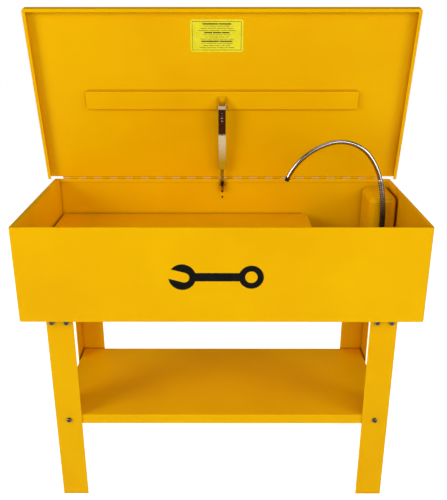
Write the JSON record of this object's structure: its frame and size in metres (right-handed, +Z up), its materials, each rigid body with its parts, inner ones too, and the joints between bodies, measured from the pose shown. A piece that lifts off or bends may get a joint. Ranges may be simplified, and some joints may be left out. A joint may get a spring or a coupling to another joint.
{
  "type": "parts washer tank",
  "caption": "Free-standing parts washer: a long folded-steel basin on angle legs with a lower shelf, a hinged lid on a sliding stay, a work shelf, a pump and a goose-neck spout.",
  "frame": {"origin": "on the floor, under the middle of the basin", "axes": "+Z up, +X to the right seen from the front, front faces -Y; rest pose has the lid open"},
  "size_m": [1.234, 0.5547, 1.5508],
  "materials": {
    "yellow_paint": "gloss",
    "zinc": "satin",
    "dark_strip": "dull",
    "solder": "dull",
    "brass": "satin",
    "chrome": "bright",
    "hose_steel": "dull",
    "black_rubber": "matt",
    "pump_plastic": "matt",
    "impeller_plastic": "matt",
    "label_film": "gloss",
    "decal_film": "gloss"
  },
  "bodies": {
    "tank": {"cord_grommet": "black_rubber", "drain_socket": "yellow_paint", "frame_nuts": "zinc", "frame_washers": "zinc", "front_decal": "decal_film", "hinge_pin": "zinc", "hinge_tank_leaf": "yellow_paint", "hose_lower": "hose_steel", "hose_nut": "brass", "leg_back_left": "yellow_paint", "leg_back_right": "yellow_paint", "leg_bolts": "zinc", "leg_bracket_back_left": "yellow_paint", "leg_bracket_back_right": "yellow_paint", "leg_bracket_front_left": "yellow_paint", "leg_bracket_front_right": "yellow_paint", "leg_front_left": "yellow_paint", "leg_front_right": "yellow_paint", "lower_shelf": "yellow_paint", "outlet_elbow": "brass", "pump_base": "pump_plastic", "pump_cord_gland": "pump_plastic", "pump_cover": "yellow_paint", "pump_cover_studs_and_nuts": "zinc", "pump_feet": "black_rubber", "pump_motor": "pump_plastic", "pump_volute": "pump_plastic", "shelf_bolts": "zinc", "stay_bracket_nuts": "zinc", "stay_bracket_screws": "yellow_paint", "stay_foot_bolt": "zinc", "stay_foot_nut": "zinc", "stay_tank_bracket": "yellow_paint", "tank_back_panel": "yellow_paint", "tank_floor": "yellow_paint", "tank_front_panel": "yellow_paint", "tank_left_panel": "yellow_paint", "tank_right_panel": "yellow_paint", "work_shelf_support_back": "yellow_paint", "work_shelf_support_front": "yellow_paint"},
    "lid": {"lid_pan": "yellow_paint", "lid_rib": "yellow_paint", "label_plate": "label_film", "hinge_lid_leaf": "yellow_paint", "stay_lid_bracket": "yellow_paint", "stay_top_bolt": "zinc", "stay_top_nut": "zinc"},
    "stay_arm": {"stay_channel": "zinc", "fusible_link_upper": "dark_strip", "fusible_link_lower": "dark_strip", "fusible_link_solder_lap": "solder", "fusible_link_rivets": "zinc"},
    "stay_bar": {"stay_slide": "zinc"},
    "spout": {"hose_upper": "hose_steel", "spout_collar": "hose_steel", "spout_tube": "chrome", "spout_tip": "black_rubber"},
    "shelf": {"work_shelf": "yellow_paint"},
    "impeller": {"pump_impeller": "impeller_plastic"},
    "plug": {"drain_plug": "zinc"}
  },
  "joints": [
    {"name": "lid_hinge", "type": "hinge", "parent": "tank", "child": "lid", "pos_m": [0, 0.2772, 0.9782], "axis": [1, 0, 0], "range_deg": [0, 77.7]},
    {"name": "stay_foot_pivot", "type": "hinge", "parent": "tank", "child": "stay_bar", "pos_m": [0, 0.264, 0.953], "axis": [1, 0, 0], "range_deg": [0, 76]},
    {"name": "stay_top_pivot", "type": "hinge", "parent": "lid", "child": "stay_arm", "pos_m": [0, 0.18138, 1.23928], "axis": [1, 0, 0], "range_deg": [-2, 0]},
    {"name": "spout_fold", "type": "hinge", "parent": "tank", "child": "spout", "pos_m": [0.54268, 0.104, 0.91096], "axis": [1, 0, 0], "range_deg": [0, 90]},
    {"name": "work_shelf_lift", "type": "slide", "parent": "tank", "child": "shelf", "axis": [0, 0, 1], "range_m": [0, 0.04]},
    {"name": "impeller_spin", "type": "hinge", "parent": "tank", "child": "impeller", "pos_m": [0.5465, 0.18, 0.722], "axis": [0, 1, 0], "continuous": true},
    {"name": "drain_plug_out", "type": "slide", "parent": "tank", "child": "plug", "axis": [0, 0, -1], "range_m": [0, 0.04]}
  ],
  "couplings": [
    {"joint": "stay_foot_pivot", "follows": "lid_hinge", "ratio": 0.975},
    {"joint": "stay_top_pivot", "follows": "lid_hinge", "ratio": -0.025},
    {"joint": "spout_fold", "follows": "lid_hinge", "ratio": 1.158}
  ]
}
